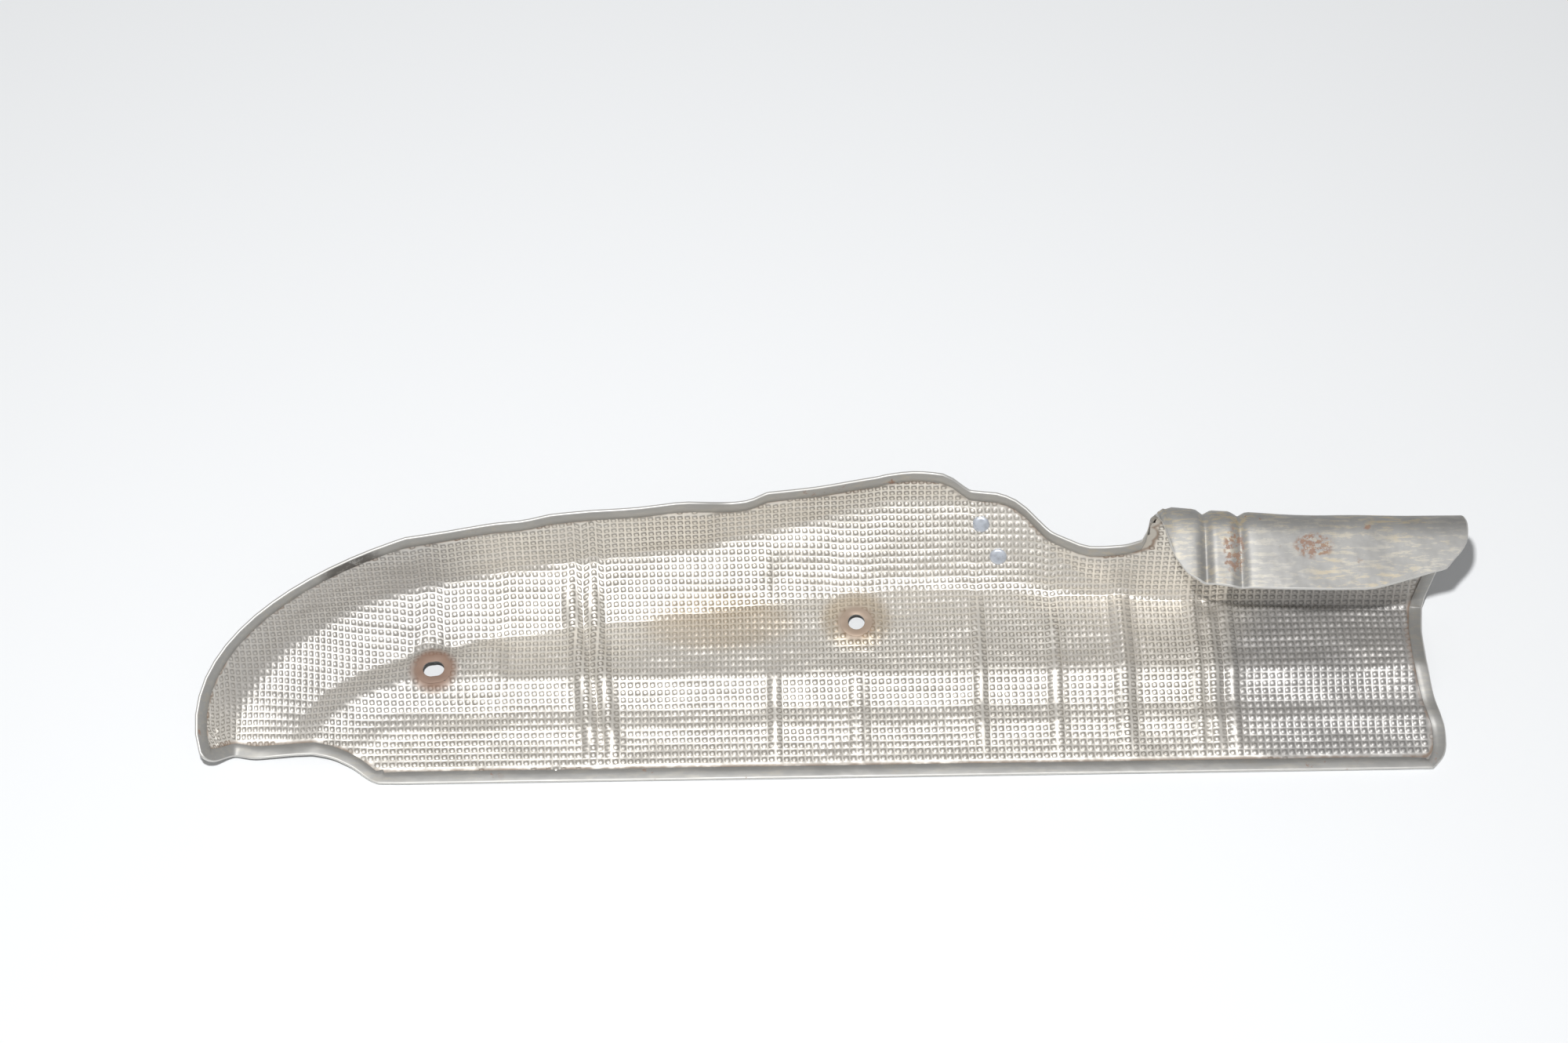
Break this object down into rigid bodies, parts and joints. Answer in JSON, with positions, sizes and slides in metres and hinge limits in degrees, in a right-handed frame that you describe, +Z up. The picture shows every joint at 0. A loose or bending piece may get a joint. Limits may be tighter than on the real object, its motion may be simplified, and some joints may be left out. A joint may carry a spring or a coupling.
{
  "type": "exhaust heat shield",
  "caption": "Long formed heat shield: dimpled foil held in the folded hem of a plain back sheet, with a curled flap at one end, two fixing holes and riveted lobe.",
  "frame": {"origin": "centre of the round fixing hole, on the foil-side face of its seat", "axes": "+X along the length towards the flap end, +Y from the straight near edge to the far wall, +Z up out of the seat; the shield lies as it comes to rest"},
  "size_m": [0.507, 0.1188, 0.062],
  "materials": {
    "back_sheet": "aluminised steel sheet, weathered satin",
    "front_foil": "embossed foil, warm and slightly dull",
    "rivets": "satin"
  },
  "bodies": {
    "root": {"back_sheet": "back_sheet", "front_foil": "front_foil", "rivets": "rivets"}
  },
  "joints": []
}
